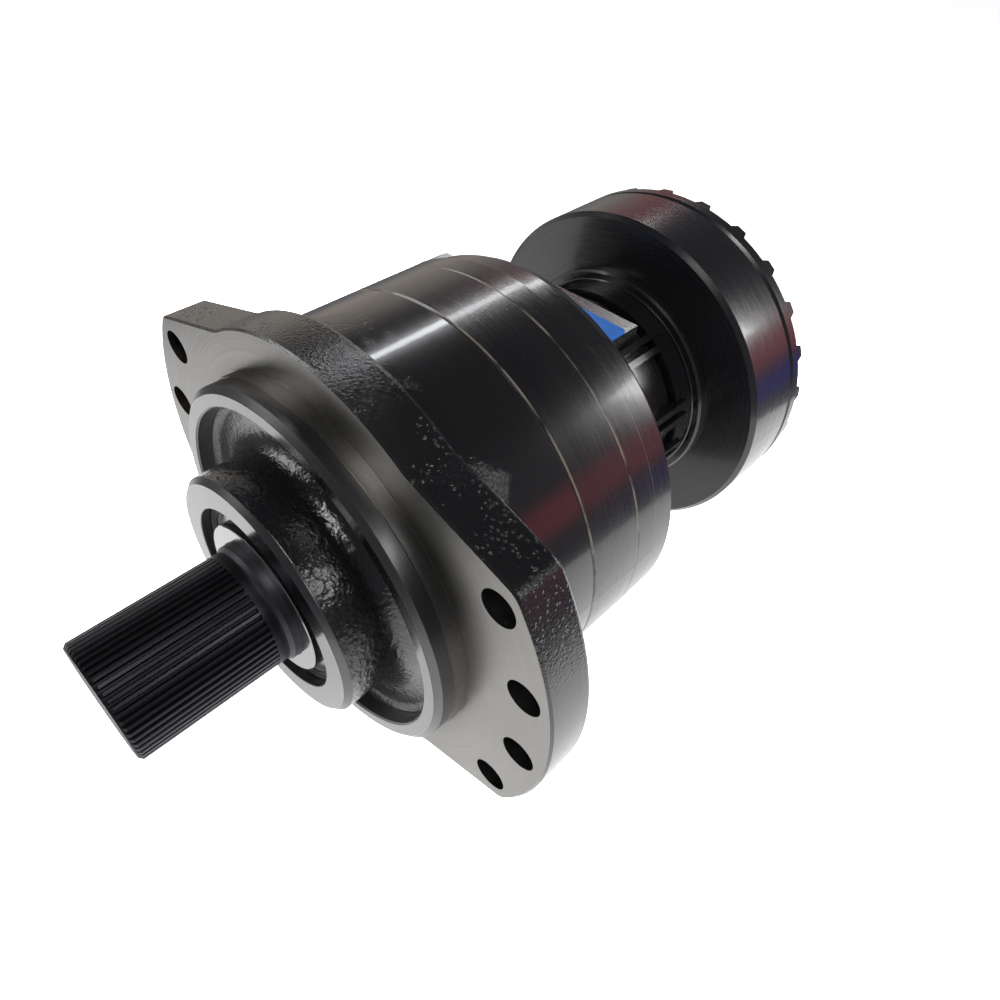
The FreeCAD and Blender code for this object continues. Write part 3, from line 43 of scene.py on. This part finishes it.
# ------------------------------------------------------------------ node helper
class Graph(object):
    """Short calls for building a material's nodes."""

    def __init__(self, name):
        self.mat = bpy.data.materials.new(name)
        self.mat.use_nodes = True
        self.t = self.mat.node_tree
        self.n = self.t.nodes
        self.n.clear()
        self.out = self.n.new("ShaderNodeOutputMaterial")
        self.bsdf = self.n.new("ShaderNodeBsdfPrincipled")
        self.t.links.new(self.bsdf.outputs[0], self.out.inputs["Surface"])
        self._obj = None
        self._cyl = None

    def put(self, sock, val):
        if isinstance(val, bpy.types.NodeSocket):
            self.t.links.new(val, sock)
        elif isinstance(val, (tuple, list)):
            sock.default_value = tuple(val) + ((1.0,) if len(val) == 3 and len(sock.default_value) == 4 else ())
        else:
            sock.default_value = val

    def set(self, name, val):
        self.put(self.bsdf.inputs[name], val)

    def m(self, op, a, b=0.0, c=0.0, clamp=False):
        k = self.n.new("ShaderNodeMath")
        k.operation = op
        k.use_clamp = clamp
        self.put(k.inputs[0], a)
        self.put(k.inputs[1], b)
        if len(k.inputs) > 2:
            self.put(k.inputs[2], c)
        return k.outputs[0]

    def add(self, a, b): return self.m("ADD", a, b)
    def sub(self, a, b): return self.m("SUBTRACT", a, b)
    def mul(self, a, b): return self.m("MULTIPLY", a, b)
    def mx(self, a, b): return self.m("MAXIMUM", a, b)
    def mn(self, a, b): return self.m("MINIMUM", a, b)

    def ramp01(self, x, lo, hi):
        """0 below lo, 1 above hi, straight between."""
        k = self.n.new("ShaderNodeMapRange")
        k.clamp = True
        k.interpolation_type = "SMOOTHSTEP"
        self.put(k.inputs["Value"], x)
        a, b, t0, t1 = lo, hi, 0.0, 1.0
        if hi < lo:
            a, b, t0, t1 = hi, lo, 1.0, 0.0
        k.inputs["From Min"].default_value = a
        k.inputs["From Max"].default_value = b
        k.inputs["To Min"].default_value = t0
        k.inputs["To Max"].default_value = t1
        return k.outputs[0]

    def band(self, x, lo, hi, soft):
        """1 between lo and hi, 0 outside."""
        return self.mul(self.ramp01(x, lo - soft, lo + soft), self.ramp01(x, hi + soft, hi - soft))

    def remap(self, x, a, b, c, d, clamp=True):
        k = self.n.new("ShaderNodeMapRange")
        k.clamp = clamp
        self.put(k.inputs["Value"], x)
        k.inputs["From Min"].default_value = a
        k.inputs["From Max"].default_value = b
        k.inputs["To Min"].default_value = c
        k.inputs["To Max"].default_value = d
        return k.outputs[0]

    def obj(self):
        if self._obj is None:
            self._obj = self.n.new("ShaderNodeTexCoord").outputs["Object"]
        return self._obj

    def cyl(self):
        """x, y, z, radius and angle about the shaft axis, in millimetres and degrees; outward normal's parts."""
        if self._cyl is None:
            s = self.n.new("ShaderNodeSeparateXYZ")
            self.t.links.new(self.obj(), s.inputs[0])
            x, y, z = [self.mul(o, 1000.0) for o in s.outputs]
            r = self.m("SQRT", self.add(self.mul(x, x), self.mul(z, z)))
            ang = self.mul(self.m("ARCTAN2", z, x), 180.0 / math.pi)
            g = self.n.new("ShaderNodeTexCoord").outputs["Normal"]
            sn = self.n.new("ShaderNodeSeparateXYZ")
            self.t.links.new(g, sn.inputs[0])
            self._cyl = {"x": x, "y": y, "z": z, "r": r, "a": ang,
                         "nx": sn.outputs[0], "ny": sn.outputs[1], "nz": sn.outputs[2]}
        return self._cyl

    def vec(self, x, y, z):
        k = self.n.new("ShaderNodeCombineXYZ")
        self.put(k.inputs[0], x)
        self.put(k.inputs[1], y)
        self.put(k.inputs[2], z)
        return k.outputs[0]

    def polar_vec(self, kr, ky, ka):
        """Coordinates that run with radius, length and turn: stretched noise gives turning marks."""
        c = self.cyl()
        return self.vec(self.mul(c["r"], kr), self.mul(c["y"], ky), self.mul(c["a"], ka))

    def noise(self, vec=None, scale=5.0, detail=2.0, rough=0.5, dist=0.0, kind="FBM"):
        k = self.n.new("ShaderNodeTexNoise")
        k.noise_dimensions = "3D"
        if hasattr(k, "noise_type"):
            k.noise_type = kind
        self.put(k.inputs["Vector"], vec if vec is not None else self.obj())
        k.inputs["Scale"].default_value = scale
        k.inputs["Detail"].default_value = detail
        k.inputs["Roughness"].default_value = rough
        k.inputs["Distortion"].default_value = dist
        return k.outputs["Fac"]

    def voronoi(self, vec=None, scale=5.0, feature="F1", rand=1.0, out="Distance", smooth=None):
        k = self.n.new("ShaderNodeTexVoronoi")
        k.feature = feature
        self.put(k.inputs["Vector"], vec if vec is not None else self.obj())
        k.inputs["Scale"].default_value = scale
        k.inputs["Randomness"].default_value = rand
        if smooth is not None and "Smoothness" in k.inputs:
            k.inputs["Smoothness"].default_value = smooth
        return k.outputs[out]

    def mix(self, fac, a, b):
        k = self.n.new("ShaderNodeMix")
        k.data_type = "RGBA"
        self.put(k.inputs[0], fac)
        self.put(k.inputs[6], a)
        self.put(k.inputs[7], b)
        return k.outputs[2]

    def mixf(self, fac, a, b):
        k = self.n.new("ShaderNodeMix")
        k.data_type = "FLOAT"
        self.put(k.inputs[0], fac)
        self.put(k.inputs[2], a)
        self.put(k.inputs[3], b)
        return k.outputs[0]

    def bump(self, height, strength=1.0, dist=0.0001, normal=None):
        k = self.n.new("ShaderNodeBump")
        k.inputs["Distance"].default_value = dist
        self.put(k.inputs["Strength"], strength)
        self.put(k.inputs["Height"], height)
        if normal is not None:
            self.t.links.new(normal, k.inputs["Normal"])
        return k.outputs[0]

    def steps(self, fac, stops, mode="LINEAR"):
        k = self.n.new("ShaderNodeValToRGB")
        k.color_ramp.interpolation = mode
        e = k.color_ramp.elements
        while len(e) > len(stops):
            e.remove(e[-1])
        while len(e) < len(stops):
            e.new(1.0)
        for q, (p, c) in zip(e, stops):
            q.position = p
            q.color = (c[0], c[1], c[2], 1.0)
        self.put(k.inputs[0], fac)
        return k.outputs[0]


BLACK = (0.0065, 0.0066, 0.0075)


def turned_lines(g, k_r=1.0, k_y=1.0):
    """Fine concentric tool marks, 0..1."""
    c = g.cyl()
    v = g.vec(g.mul(c["r"], k_r), g.mul(c["y"], k_y), g.mul(c["a"], 0.004))
    fine = g.noise(v, 6.0, 3.0, 0.7)
    broad = g.noise(v, 0.9, 2.0, 0.5)
    return g.add(g.mul(fine, 0.65), g.mul(broad, 0.35))


# ------------------------------------------------------------------ materials
def mat_front_housing():
    g = Graph("front_housing_finish")
    c = g.cyl()
    r, y, a, ny = c["r"], c["y"], c["a"], c["ny"]
    fwd = g.ramp01(ny, -0.80, -0.95)                  # faces that look along the shaft
    flange_face = g.mul(g.mul(fwd, g.band(y, -0.4, 0.4, 0.1)), g.ramp01(r, 93.8, 94.2))
    ring_face = g.mul(g.mul(fwd, g.band(y, -16.6, -15.7, 0.1)), g.band(r, 83.0, 91.0, 0.2))
    nose_face = g.mul(g.mul(fwd, g.band(y, -38.0, -37.0, 0.1)), g.band(r, 46.0, 59.0, 0.2))
    bare = g.mx(g.mx(flange_face, ring_face), nose_face)
    spigot = g.mul(g.band(y, -15.9, -0.05, 0.1), g.band(r, 90.2, 94.3, 0.15))       # turned outside of the pilot
    spigot = g.mul(spigot, g.sub(1.0, ring_face))
    wall = g.mul(g.mul(g.band(y, -15.9, -8.4, 0.8), g.band(r, 82.0, 84.4, 0.3)), g.sub(1.0, fwd))
    land = g.mul(g.band(y, -37.2, -34.6, 0.15), g.band(r, 58.3, 61.3, 0.2))          # turned edge of the nose
    bore = g.mul(g.band(y, -37.4, -20.0, 0.2), g.ramp01(r, 48.2, 47.9))
    turned = g.mx(g.mx(spigot, wall), g.mx(land, bore))
    metal = g.mx(bare, turned)
    # rough casting: nose and recess, flange rim, patches on the barrel beside the flange
    recess = g.mul(g.band(y, -34.5, -4.0, 0.3), g.ramp01(r, 83.6, 82.6))
    rim = g.mul(g.ramp01(r, 104.9, 106.5), g.sub(1.0, flange_face))
    barrel = g.mul(g.ramp01(y, 22.0, 24.0), g.ramp01(r, 103.4, 103.9))
    patch_n = g.noise(None, 26.0, 3.0, 0.55, 0.4)
    patch = g.mul(barrel, g.mul(g.ramp01(g.add(patch_n, g.mul(g.ramp01(y, 62.0, 24.0), 0.22)), 0.60, 0.70), 1.0))
    rough_cast = g.mx(g.mx(recess, rim), patch)
    rough_cast = g.mul(rough_cast, g.sub(1.0, metal))
    # colour
    turn = turned_lines(g)
    big = g.noise(None, 9.0, 2.0, 0.5)
    grain = g.noise(None, 1400.0, 2.0, 0.6)
    arcs = g.ramp01(g.noise(g.vec(g.mul(r, 2.2), 0.0, g.mul(a, 0.02)), 1.0, 3.0, 0.7), 0.35, 0.65)
    steel = g.mix(g.add(g.mul(turn, 0.5), g.mul(arcs, 0.5)), (0.165, 0.160, 0.150), (0.285, 0.277, 0.264))
    steel = g.mix(g.ramp01(big, 0.35, 0.7), steel, (0.255, 0.245, 0.230))
    # painted shade: the flange face is darkened towards the foot of the pilot, where shade falls in the corner
    steel = g.mix(g.mul(g.ramp01(r, 104.0, 94.0), 0.45), steel, (0.13, 0.125, 0.118))
    steel = g.mix(g.mx(nose_face, ring_face), steel, (0.185, 0.185, 0.19))
    gun = g.mix(g.add(g.mul(turn, 0.5), g.mul(grain, 0.5)), (0.070, 0.070, 0.071), (0.160, 0.160, 0.162))
    gun = g.mix(g.mul(g.band(y, -7.0, -0.1, 0.2), g.ramp01(r, 93.0, 93.4)), gun, g.mix(grain, (0.11, 0.107, 0.102), (0.25, 0.245, 0.235)))
    seam = g.mx(g.band(y, -7.3, -6.9, 0.12), g.band(y, -0.45, 0.1, 0.12))
    gun = g.mix(g.mul(g.mul(seam, g.ramp01(r, 92.2, 92.6)), 0.5), gun, (0.27, 0.23, 0.18))
    metal_col = g.mix(bare, gun, steel)
    paint = g.mix(g.ramp01(big, 0.45, 0.75), BLACK, (0.011, 0.0105, 0.011))
    # brown tint on the rim's edge and thin rust at the foot of the pilot
    rust_n = g.noise(None, 60.0, 3.0, 0.6)
    ear_top = g.mul(g.mul(rim, g.ramp01(a, 120.0, 135.0)), g.ramp01(rust_n, 0.40, 0.62))
    paint = g.mix(g.mul(ear_top, 0.30), paint, (0.060, 0.045, 0.034))
    edge = g.mx(g.band(y, 22.6, 23.4, 0.15), g.band(y, 66.3, 67.3, 0.12))
    edge = g.mul(g.mul(edge, g.ramp01(r, 103.0, 103.6)), g.ramp01(g.noise(None, 70.0, 3.0, 0.6), 0.36, 0.58))
    edge = g.mul(edge, g.ramp01(ny, 0.9, 0.6))
    paint = g.mix(g.mul(edge, 0.65), paint, (0.20, 0.165, 0.13))
    col = g.mix(metal, paint, metal_col)
    foot = g.mul(g.mul(flange_face, g.band(r, 93.6, 94.9, 0.25)), g.ramp01(g.noise(None, 45.0, 2.0, 0.5), 0.30, 0.60))
    col = g.mix(g.mul(foot, 0.45), col, (0.10, 0.078, 0.058))
    g.set("Base Color", col)
    g.set("Metallic", metal)
    rough_metal = g.mixf(bare, g.remap(turn, 0.3, 0.7, 0.26, 0.38), g.remap(turn, 0.3, 0.7, 0.30, 0.44))
    rough_metal = g.mixf(g.mx(nose_face, ring_face), rough_metal, g.remap(turn, 0.3, 0.7, 0.12, 0.20))
    rough_paint = g.mixf(rough_cast, g.remap(big, 0.3, 0.7, 0.16, 0.24), g.remap(patch_n, 0.3, 0.7, 0.16, 0.28))
    g.set("Roughness", g.mixf(metal, rough_paint, rough_metal))
    # relief
    fine = g.noise(None, 760.0, 3.0, 0.6)
    mid = g.noise(None, 330.0, 2.0, 0.5)
    pitfield = g.mul(g.ramp01(g.noise(None, 38.0, 2.0, 0.5), 0.50, 0.62), g.ramp01(a, 12.0, 26.0))
    pits = g.mul(g.ramp01(g.voronoi(None, 480.0), 0.34, 0.12), pitfield)
    bumpy = g.add(g.mul(fine, 0.35), g.mul(mid, 0.9))
    chip = g.mul(g.band(y, 15.0, 23.5, 3.0), g.ramp01(a, 4.0, 18.0))
    plain = g.mixf(g.mx(g.ramp01(a, 6.0, 22.0), chip), 0.12, 0.50)
    cast = g.mixf(recess, g.sub(g.mul(fine, plain), g.mul(pits, 0.9)), bumpy)
    peel = g.noise(None, 210.0, 2.0, 0.5)
    n1 = g.bump(cast, g.mul(rough_cast, 1.0), 0.00050)
    n2 = g.bump(peel, g.mul(g.sub(1.0, metal), 0.30), 0.00005, n1)
    n3 = g.bump(g.add(turn, g.mul(grain, 0.8)), g.mul(metal, 0.6), 0.000014, n2)
    g.set("Normal", n3)
    g.set("Coat Normal", n2)
    g.set("Coat Weight", g.mul(g.sub(1.0, metal), 0.45))
    g.bsdf.inputs["Coat Roughness"].default_value = 0.06
    return g.mat


def mat_case(name, seams=(), tint=(0.0, 0.0, 0.0), dust=0.0):
    """Turned casting under gloss black paint.  seams: (y, half width, strength) of bare or dusty edges."""
    g = Graph(name)
    c = g.cyl()
    y = c["y"]
    big = g.noise(None, 11.0, 2.0, 0.5)
    turn = turned_lines(g, 0.7, 0.7)
    col = g.mix(g.ramp01(big, 0.4, 0.75), BLACK, (0.010 + tint[0], 0.0095 + tint[1], 0.0105 + tint[2]))
    patchy = g.ramp01(g.noise(None, 42.0, 3.0, 0.6), 0.34, 0.60)
    for (yy, half, amount) in seams:
        m = g.mul(g.band(y, yy - half, yy + half, 0.10), g.ramp01(c["r"], 98.0, 99.0))
        m = g.mul(g.mul(m, patchy), amount)
        col = g.mix(m, col, (0.34, 0.29, 0.235))
    specks = g.mul(g.ramp01(g.voronoi(None, 420.0), 0.10, 0.05), g.ramp01(g.noise(None, 26.0, 2.0, 0.5), 0.56, 0.68))
    col = g.mix(g.mul(specks, 0.35 + dust), col, (0.30, 0.28, 0.25))
    g.set("Base Color", col)
    g.set("Metallic", 0.0)
    g.set("Roughness", g.add(g.remap(turn, 0.35, 0.7, 0.20, 0.30), g.mul(g.ramp01(big, 0.4, 0.8), 0.05)))
    n1 = g.bump(g.noise(None, 260.0, 3.0, 0.55), 0.35, 0.00006)
    scratch = g.ramp01(g.noise(g.vec(g.mul(c["x"], 0.02), g.mul(y, 0.35), g.mul(c["z"], 0.02)), 3.0, 2.0, 0.5, 0.6), 0.66, 0.70)
    n2 = g.bump(g.sub(turn, g.mul(scratch, 0.5)), 0.4, 0.000008, n1)
    g.set("Normal", n2)
    g.set("Coat Normal", n2)
    g.set("Coat Weight", 0.35)
    g.bsdf.inputs["Coat Roughness"].default_value = 0.10
    return g.mat


def mat_shaft():
    g = Graph("shaft_black_oxide")
    c = g.cyl()
    y, r = c["y"], c["r"]
    lines = g.noise(g.vec(g.mul(c["x"], 1.0), g.mul(y, 0.02), g.mul(c["z"], 1.0)), 1.6, 3.0, 0.6)
    top = g.mul(g.ramp01(r, 26.9, 27.7), g.ramp01(y, -44.0, -48.0))
    col = g.mix(top, (0.018, 0.018, 0.021), (0.034, 0.034, 0.040))
    col = g.mix(g.ramp01(y, -43.5, -41.5), col, (0.060, 0.061, 0.068))
    g.set("Base Color", col)
    g.set("Metallic", 0.92)
    g.set("Roughness", g.add(g.mixf(top, 0.42, 0.30), g.mul(lines, 0.10)))
    g.set("Normal", g.bump(lines, 0.4, 0.00002))
    return g.mat


def mat_steel(name, lo, hi, rough, lines=1.0, metallic=1.0):
    g = Graph(name)
    turn = turned_lines(g, lines, lines)
    g.set("Base Color", g.mix(turn, lo, hi))
    g.set("Metallic", metallic)
    g.set("Roughness", g.remap(turn, 0.3, 0.7, rough - 0.05, rough + 0.07))
    g.set("Normal", g.bump(turn, 0.5, 0.000012))
    return g.mat


def mat_rubber():
    g = Graph("seal_rubber_finish")
    n = g.noise(None, 400.0, 3.0, 0.6)
    g.set("Base Color", g.mix(n, (0.006, 0.006, 0.006), (0.016, 0.016, 0.016)))
    g.set("Roughness", g.remap(n, 0.3, 0.7, 0.34, 0.5))
    g.set("Normal", g.bump(n, 0.3, 0.00003))
    return g.mat


def mat_blue():
    g = Graph("blue_plastic_finish")
    n = g.noise(None, 90.0, 2.0, 0.5)
    f = g.noise(None, 900.0, 2.0, 0.5)
    blue = g.mix(n, (0.012, 0.120, 0.46), (0.020, 0.165, 0.58))
    chips = g.ramp01(g.voronoi(None, 260.0), 0.16, 0.08)
    g.set("Base Color", g.mix(g.mul(chips, g.ramp01(n, 0.5, 0.62)), blue, (0.55, 0.62, 0.70)))
    g.set("Roughness", g.remap(f, 0.3, 0.7, 0.42, 0.55))
    g.set("Normal", g.bump(f, 0.25, 0.00003))
    g.bsdf.inputs["Specular IOR Level"].default_value = 0.2
    g.bsdf.inputs["Subsurface Weight"].default_value = 0.06
    g.bsdf.inputs["Subsurface Scale"].default_value = 0.002
    return g.mat


def mat_lining():
    g = Graph("friction_lining_finish")
    v = g.voronoi(None, 900.0)
    g.set("Base Color", g.steps(v, [(0.0, (0.10, 0.075, 0.05)), (0.6, (0.20, 0.15, 0.09)), (1.0, (0.30, 0.24, 0.15))]))
    g.set("Roughness", 0.75)
    g.set("Metallic", 0.2)
    g.set("Normal", g.bump(v, 0.6, 0.00008))
    return g.mat


def mat_cast_iron():
    g = Graph("machined_iron_finish")
    turn = turned_lines(g)
    n = g.noise(None, 500.0, 3.0, 0.6)
    g.set("Base Color", g.mix(turn, (0.16, 0.16, 0.16), (0.26, 0.26, 0.255)))
    g.set("Metallic", 0.9)
    g.set("Roughness", g.add(0.38, g.mul(n, 0.12)))
    g.set("Normal", g.bump(g.add(g.mul(turn, 0.6), g.mul(n, 0.4)), 0.5, 0.00002))
    return g.mat


def dress(names, mat):
    for n in names:
        o = NODES[n]
        o.data.materials.clear()
        o.data.materials.append(mat)


M_FRONT = mat_front_housing()
M_CASE = mat_case("case_gloss_black", ((67.9, 0.35, 0.75), (98.7, 0.35, 0.9)))
M_REAR = mat_case("rear_case_gloss_black", ((99.2, 0.2, 0.5), (112.2, 0.35, 0.45)))
M_DRUM = mat_case("drum_satin_black", (), (0.0, 0.0, 0.002), 0.2)
M_SHAFT = mat_shaft()
M_STEEL = mat_steel("machined_steel_finish", (0.42, 0.42, 0.41), (0.60, 0.60, 0.59), 0.28)
M_BRG = mat_steel("bearing_steel_finish", (0.60, 0.60, 0.61), (0.72, 0.72, 0.73), 0.14)
M_DARK = mat_steel("dark_steel_finish", (0.05, 0.05, 0.055), (0.10, 0.10, 0.11), 0.34)
M_SLEEVE = mat_steel("sleeve_steel_finish", (0.27, 0.27, 0.27), (0.37, 0.37, 0.37), 0.16)
M_RUBBER = mat_rubber()
M_BLUE = mat_blue()
M_LINING = mat_lining()
M_IRON = mat_cast_iron()

dress(["front_housing"], M_FRONT)
dress(["cam_ring"], M_CASE)
dress(["rear_housing"], M_REAR)
dress(["brake_housing", "brake_cover"], M_DRUM)
dress(["output_shaft"], M_SHAFT)
dress(["seal_wear_sleeve"], M_SLEEVE)
dress(["shaft_seal", "front_case_o_ring", "rear_case_o_ring", "distributor_o_rings", "cover_o_ring", "piston_ring"], M_RUBBER)
dress(["port_cover"], M_BLUE)
dress(["front_bearing_cup", "rear_bearing_cup", "front_bearing_cone", "rear_bearing_cone",
       "front_bearing_rollers", "rear_bearing_rollers"] + ["cam_roller_%02d" % k for k in range(1, 11)], M_BRG)
dress(["bearing_spacer", "brake_shaft", "brake_disc_spring", "brake_piston"] + ["piston_%02d" % k for k in range(1, 11)]
      + ["brake_plate_%d" % k for k in range(1, 5)], M_STEEL)
dress(["bearing_lock_nut", "housing_bolts", "brake_housing_screws", "cover_screws", "release_plug", "drain_plug"], M_DARK)
dress(["friction_disc_%d" % k for k in range(1, 4)], M_LINING)
dress(["cylinder_block", "distributor_valve"], M_IRON)

# ------------------------------------------------------------------ floor
lo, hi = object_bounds()
FLOOR_Z = lo[2] - 0.0002
bm = bmesh.new()
bmesh.ops.create_grid(bm, x_segments=2, y_segments=2, size=9.0)
me = bpy.data.meshes.new("floor")
bm.to_mesh(me)
bm.free()
floor = bpy.data.objects.new("floor", me)
floor.location = (0.0, 0.0, FLOOR_Z)
scene.collection.objects.link(floor)
gf = Graph("floor_white")
nf = gf.noise(None, 3.0, 2.0, 0.5)
gf.set("Base Color", gf.mix(nf, (0.90, 0.90, 0.90), (0.93, 0.93, 0.93)))
gf.set("Roughness", 0.9)
gf.bsdf.inputs["Specular IOR Level"].default_value = 0.1
gf.bsdf.inputs["Emission Color"].default_value = (1.0, 1.0, 1.0, 1.0)
gf.bsdf.inputs["Emission Strength"].default_value = 0.80
floor.data.materials.append(gf.mat)
floor.visible_glossy = False
# the table top that the paint mirrors: smaller than the floor
bm = bmesh.new()
bmesh.ops.create_circle(bm, cap_ends=True, segments=96, radius=0.46)
me = bpy.data.meshes.new("table_top")
bm.to_mesh(me)
bm.free()
table = bpy.data.objects.new("table_top", me)
table.location = (0.0, 0.05, FLOOR_Z + 0.0001)
scene.collection.objects.link(table)
table.data.materials.append(gf.mat)
table.visible_camera = False
table.visible_shadow = False
# plain pale wall round the floor, for low views
bm = bmesh.new()
bmesh.ops.create_cone(bm, cap_ends=False, segments=96, radius1=8.7, radius2=8.7, depth=16.0)
me = bpy.data.meshes.new("wall")
bm.to_mesh(me)
bm.free()
wall = bpy.data.objects.new("wall", me)
wall.location = (0.0, 0.0, FLOOR_Z + 7.9)
scene.collection.objects.link(wall)
wall.data.materials.append(gf.mat)
wall.visible_glossy = False
wall.visible_diffuse = False
wall.visible_shadow = False

# ------------------------------------------------------------------ light
world = bpy.data.worlds.new("studio")
scene.world = world
world.use_nodes = True


class Room(Graph):
    """The studio's walls: a dim room whose colour changes with direction."""

    def __init__(self):
        self.t = world.node_tree
        self.n = self.t.nodes
        self.n.clear()
        self._obj = None
        self._cyl = None


rm = Room()
wo = rm.n.new("ShaderNodeOutputWorld")
wb = rm.n.new("ShaderNodeBackground")
rm.t.links.new(wb.outputs[0], wo.inputs[0])
sp = rm.n.new("ShaderNodeSeparateXYZ")
rm.t.links.new(rm.n.new("ShaderNodeTexCoord").outputs["Generated"], sp.inputs[0])
dx, dy, dz = sp.outputs
az = rm.mul(rm.m("ARCTAN2", dy, dx), 180.0 / math.pi)
azp = rm.m("MODULO", rm.add(az, 360.0), 360.0)
colour = rm.mix(rm.ramp01(dz, 0.25, 0.8), (0.16, 0.165, 0.18), (0.05, 0.052, 0.058))
red = rm.mul(rm.band(azp, 27.0, 70.0, 9.0), rm.band(dz, -0.06, 0.20, 0.08))
colour = rm.mix(red, colour, (0.95, 0.26, 0.30))
red2 = rm.mul(rm.band(azp, 118.0, 134.0, 8.0), rm.band(dz, 0.10, 0.60, 0.12))
colour = rm.mix(rm.mul(red2, 0.7), colour, (0.55, 0.12, 0.13))
navy = rm.mul(rm.band(azp, 43.0, 88.0, 7.0), rm.band(dz, -0.30, -0.14, 0.06))
colour = rm.mix(navy, colour, (0.13, 0.12, 0.60))
brown = rm.mul(rm.band(azp, 132.0, 190.0, 12.0), rm.band(dz, -0.15, 0.38, 0.14))
colour = rm.mix(brown, colour, (0.62, 0.56, 0.50))
rm.put(wb.inputs[0], colour)
wb.inputs[1].default_value = 1.0


def area(name, loc, target, along, sx, sy, power, color=(1, 1, 1)):
    """A softbox whose long side runs with the direction along."""
    l = bpy.data.lights.new(name, "AREA")
    l.shape = "RECTANGLE"
    l.size = sx
    l.size_y = sy
    l.energy = power
    l.color = color
    o = bpy.data.objects.new(name, l)
    zz = (Vector(loc) - Vector(target)).normalized()
    yy = (Vector(along) - zz * Vector(along).dot(zz)).normalized()
    xx = yy.cross(zz)
    mw = Matrix.Identity(4)
    for k in range(3):
        mw[k][0], mw[k][1], mw[k][2], mw[k][3] = xx[k], yy[k], zz[k], loc[k]
    o.matrix_world = mw
    scene.collection.objects.link(o)
    return o


area("key", (0.5, -0.5, 1.7), (0, 0.05, 0), (1, 0, 0), 0.6, 0.6, 13.0)
area("left", (-1.4, -0.9, 0.9), (0, 0.0, 0), (0, 1, 0), 0.7, 0.9, 9.0)
area("strip", (-0.74, 0.97, 1.06), (0.009, 0.08, 0.104), (0, 1, 0), 0.09, 0.8, 3.6, (0.96, 0.98, 1.0))
area("neck", (0.27, 0.42, 0.20), (0.045, 0.15, 0.045), (0, 0, 1), 0.10, 0.14, 0.6)
area("grain", (0.95, 0.25, 0.75), (0.05, -0.01, 0.05), (0, 1, 0), 0.20, 0.35, 2.2)

# ------------------------------------------------------------------ camera
cam_data = bpy.data.cameras.new("camera")
cam_data.sensor_fit = "HORIZONTAL"
cam_data.sensor_width = 36.0
cam_data.lens = 27.661
cam_data.shift_x = 0.00054
cam_data.shift_y = -0.00529
cam_data.clip_start = 0.01
cam_data.clip_end = 50.0
cam = bpy.data.objects.new("camera", cam_data)
cx = Vector((0.7129069615, 0.7005382441, 0.0317778657))
cy = Vector((-0.5086626143, 0.4853866364, 0.7110992603))
cz = Vector((0.4827276759, -0.5231118253, 0.7023731268))
m = Matrix.Identity(4)
for i in range(3):
    m[i][0], m[i][1], m[i][2] = cx[i], cy[i], cz[i]
m[0][3], m[1][3], m[2][3] = 0.21617820, -0.11902846, 0.27621052
cam.matrix_world = m
scene.collection.objects.link(cam)
scene.camera = cam
